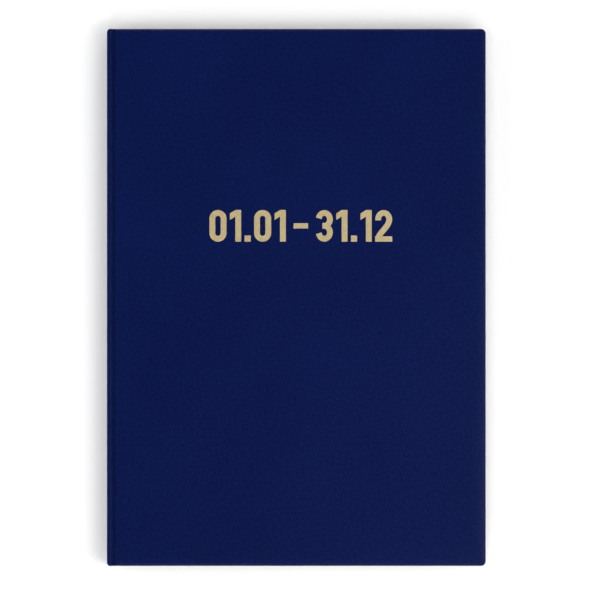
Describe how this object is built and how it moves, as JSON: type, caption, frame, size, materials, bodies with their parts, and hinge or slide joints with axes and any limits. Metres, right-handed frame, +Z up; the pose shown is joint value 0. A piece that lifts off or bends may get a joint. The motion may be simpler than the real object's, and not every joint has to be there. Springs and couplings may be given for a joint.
{
  "type": "ledger book",
  "caption": "Case-bound A4 ledger book in dark blue cloth with gold foil figures; the cover opens, and the sewn block opens at its middle with single leaves between.",
  "frame": {"origin": "under the middle of the closed cover, on the surface that the book lies on", "axes": "+Z up through the book's thickness, +Y towards the head, +X towards the fore-edge, so the spine is at -X"},
  "size_m": [0.2094, 0.297, 0.0151],
  "materials": {
    "cover_cloth": "fine-grained dark blue vinyl-coated book cloth, satin",
    "greyboard": "uncoated grey board",
    "endpaper": "heavy off-white offset paper, matte",
    "page_paper": "white offset paper with a pale blue squared ruling, matte",
    "sewing_thread": "twisted cotton-polyester thread",
    "spine_lining": "glued open-weave gauze",
    "gold_foil": "matte gold hot-stamped foil"
  },
  "bodies": {
    "back_cover": {"back_board": "greyboard", "back_cover_cloth": "cover_cloth", "back_joint_cloth": "cover_cloth", "back_pastedown": "endpaper", "back_endpaper_fold": "endpaper", "back_flyleaf": "endpaper", "section_4": "page_paper", "section_5": "page_paper", "section_6": "page_paper", "sewing_thread_4": "sewing_thread", "sewing_thread_5": "sewing_thread", "sewing_thread_6": "sewing_thread", "spine_lining": "spine_lining"},
    "front_block": {"section_1": "page_paper", "section_2": "page_paper", "section_3": "page_paper", "sewing_thread_1": "sewing_thread", "sewing_thread_2": "sewing_thread", "sewing_thread_3": "sewing_thread", "front_flyleaf": "endpaper"},
    "turning_leaf_1": {"leaf_1": "page_paper"},
    "turning_leaf_2": {"leaf_2": "page_paper"},
    "turning_leaf_3": {"leaf_3": "page_paper"},
    "turning_leaf_4": {"leaf_4": "page_paper"},
    "turning_leaf_5": {"leaf_5": "page_paper"},
    "turning_leaf_6": {"leaf_6": "page_paper"},
    "spine": {"spine_strip": "greyboard", "spine_cloth": "cover_cloth"},
    "front_hinge": {"front_joint_cloth": "cover_cloth", "front_endpaper_fold": "endpaper"},
    "front_cover": {"front_board": "greyboard", "front_cover_cloth": "cover_cloth", "front_pastedown": "endpaper", "foil_figure_01": "gold_foil", "foil_figure_02": "gold_foil", "foil_figure_03": "gold_foil", "foil_figure_04": "gold_foil", "foil_figure_05": "gold_foil", "foil_figure_06": "gold_foil", "foil_figure_07": "gold_foil", "foil_figure_08": "gold_foil", "foil_figure_09": "gold_foil", "foil_figure_10": "gold_foil", "foil_figure_11": "gold_foil"}
  },
  "joints": [
    {"name": "block_opening", "type": "hinge", "parent": "back_cover", "child": "front_block", "pos_m": [-0.10235, 0, 0.00752], "axis": [0, -1, 0], "range_deg": [0, 179.8], "deforming": ["spine_lining"]},
    {"name": "leaf_1_turn", "type": "hinge", "parent": "back_cover", "child": "turning_leaf_1", "pos_m": [-0.10235, 0, 0.00752], "axis": [0, -1, 0], "range_deg": [0, 179.8]},
    {"name": "leaf_2_turn", "type": "hinge", "parent": "back_cover", "child": "turning_leaf_2", "pos_m": [-0.10235, 0, 0.00752], "axis": [0, -1, 0], "range_deg": [0, 179.8]},
    {"name": "leaf_3_turn", "type": "hinge", "parent": "back_cover", "child": "turning_leaf_3", "pos_m": [-0.10235, 0, 0.00752], "axis": [0, -1, 0], "range_deg": [0, 179.8]},
    {"name": "leaf_4_turn", "type": "hinge", "parent": "back_cover", "child": "turning_leaf_4", "pos_m": [-0.10235, 0, 0.00752], "axis": [0, -1, 0], "range_deg": [0, 179.8]},
    {"name": "leaf_5_turn", "type": "hinge", "parent": "back_cover", "child": "turning_leaf_5", "pos_m": [-0.10235, 0, 0.00752], "axis": [0, -1, 0], "range_deg": [0, 179.8]},
    {"name": "leaf_6_turn", "type": "hinge", "parent": "back_cover", "child": "turning_leaf_6", "pos_m": [-0.10235, 0, 0.00752], "axis": [0, -1, 0], "range_deg": [0, 179.8]},
    {"name": "spine_tilt", "type": "hinge", "parent": "back_cover", "child": "spine", "pos_m": [-0.1036, 0, 0.0012], "axis": [0, -1, 0], "range_deg": [0, 90], "deforming": ["back_joint_cloth"]},
    {"name": "front_joint_fold", "type": "hinge", "parent": "spine", "child": "front_hinge", "pos_m": [-0.1036, 0, 0.01385], "axis": [0, -1, 0], "range_deg": [0, 90]},
    {"name": "cover_opening", "type": "hinge", "parent": "front_hinge", "child": "front_cover", "pos_m": [-0.10097, 0, 0.0152], "axis": [0, 1, 0], "range_deg": [-179.8, 0], "deforming": ["front_joint_cloth", "front_endpaper_fold"]}
  ],
  "couplings": [
    {"joint": "spine_tilt", "follows": "block_opening", "ratio": 0.5},
    {"joint": "front_joint_fold", "follows": "block_opening", "ratio": 0.5},
    {"joint": "leaf_1_turn", "follows": "block_opening", "ratio": 0.97},
    {"joint": "leaf_2_turn", "follows": "block_opening", "ratio": 0.92},
    {"joint": "leaf_3_turn", "follows": "block_opening", "ratio": 0.84},
    {"joint": "leaf_4_turn", "follows": "block_opening", "ratio": 0.16},
    {"joint": "leaf_5_turn", "follows": "block_opening", "ratio": 0.08},
    {"joint": "leaf_6_turn", "follows": "block_opening", "ratio": 0.03}
  ]
}
